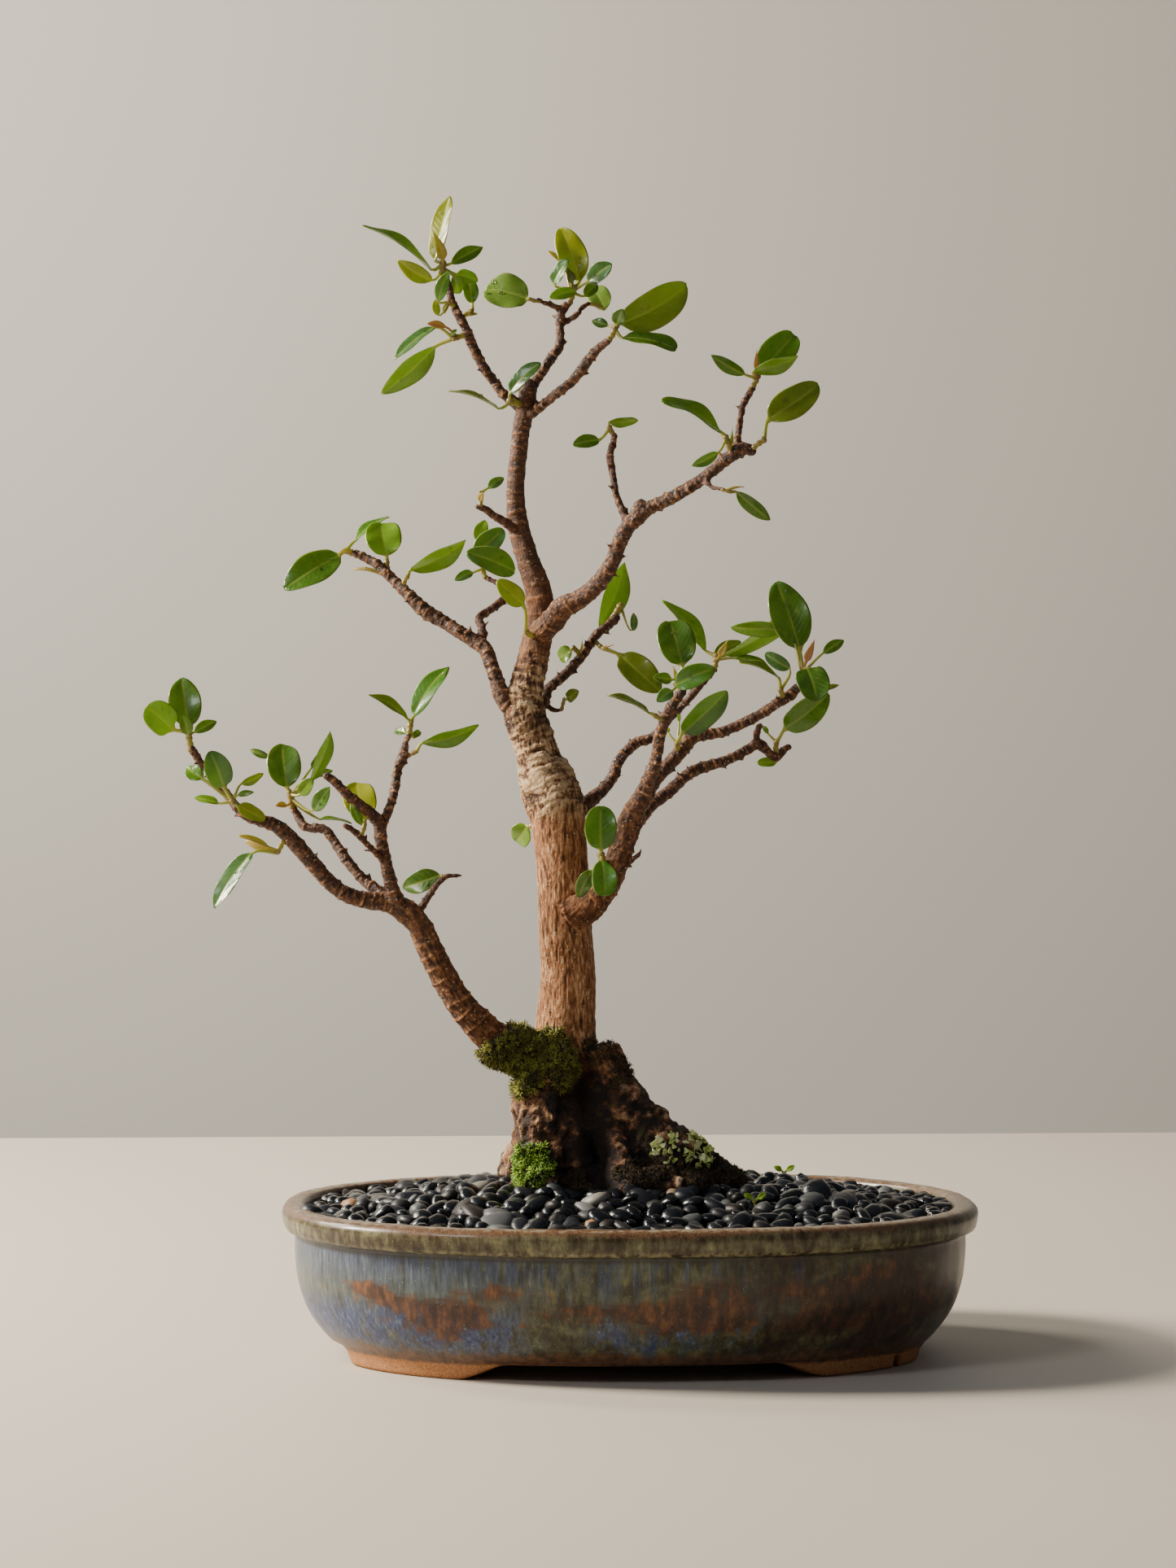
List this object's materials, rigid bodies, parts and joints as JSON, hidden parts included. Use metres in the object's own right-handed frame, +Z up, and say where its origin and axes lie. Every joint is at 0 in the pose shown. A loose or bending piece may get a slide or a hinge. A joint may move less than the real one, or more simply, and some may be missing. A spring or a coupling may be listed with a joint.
{
  "type": "potted bonsai tree",
  "caption": "Small ficus bonsai with a flared root base and sparse leafy boughs, standing in a shallow oval glazed pot dressed with black pebbles.",
  "frame": {"origin": "on the table, under the middle of the whole plant's box; the pot's own middle is 24 mm to the right of it", "axes": "+Z up, X along the pot's long side, the pot's front towards -Y"},
  "size_m": [0.3088, 0.206, 0.4322],
  "materials": {
    "glaze": "semi-gloss reactive glaze, olive green and slate blue broken with rust brown, cream specks, bare orange clay feet",
    "drainage_mesh": "black moulded mesh",
    "soil": "dark loose potting soil",
    "pebbles": "wet polished black pebbles with a few grey and brown ones",
    "bark": "tan to red-brown bark, fissured on the trunk, ringed and glossy on the twigs",
    "moss": "soft tufted moss, yellow-green to brown",
    "lichen": "pale green crusty lichen",
    "leaf": "waxy leaf, glossy dark green to fresh yellow-green, paler midrib and underside"
  },
  "bodies": {
    "root": {"pot": "glaze", "drainage_mesh_left": "drainage_mesh", "drainage_mesh_right": "drainage_mesh", "soil": "soil", "pebble_layer": "pebbles", "trunk": "bark", "low_left_limb": "bark", "upper_left_limb": "bark", "trunk_left_spur": "bark", "crown_left_branch": "bark", "crown_middle_branch": "bark", "crown_right_branch": "bark", "upper_right_limb": "bark", "short_right_branch": "bark", "low_right_limb": "bark", "rear_right_branch": "bark", "moss_collar": "moss", "moss_foot": "moss", "lichen_patch": "lichen", "low_left_tip_shoot": "leaf", "low_left_bud_shoot": "leaf", "low_left_hanging_leaf": "leaf", "low_left_middle_shoot": "leaf", "low_left_inner_shoot": "leaf", "low_left_top_shoot": "leaf", "low_left_top_side_leaf": "leaf", "low_left_twig_leaf": "leaf", "upper_left_tip_shoot": "leaf", "upper_left_fold_leaf": "leaf", "upper_left_arch_leaf": "leaf", "upper_left_back_shoot": "leaf", "trunk_front_leaf": "leaf", "trunk_spur_shoot": "leaf", "crown_left_shoot": "leaf", "crown_left_front_leaf": "leaf", "crown_left_dark_leaf": "leaf", "crown_left_low_shoot": "leaf", "crown_fork_leaves": "leaf", "crown_round_leaf": "leaf", "crown_middle_shoot": "leaf", "crown_middle_side_leaf": "leaf", "crown_right_shoot": "leaf", "upper_right_top_shoot": "leaf", "upper_right_side_leaf": "leaf", "upper_right_left_shoot": "leaf", "upper_right_low_leaf": "leaf", "upper_right_inner_shoot": "leaf", "short_right_shoot": "leaf", "short_right_round_leaf": "leaf", "short_right_side_leaf": "leaf", "short_right_bud_leaf": "leaf", "low_right_front_shoot": "leaf", "low_right_arch_leaf": "leaf", "low_right_rear_leaf": "leaf", "rear_right_shoot": "leaf", "low_right_tip_shoot": "leaf", "low_right_fold_leaves": "leaf", "under_branch_leaf": "leaf", "fork_front_leaves": "leaf", "trunk_left_leaf": "leaf"}
  },
  "joints": []
}
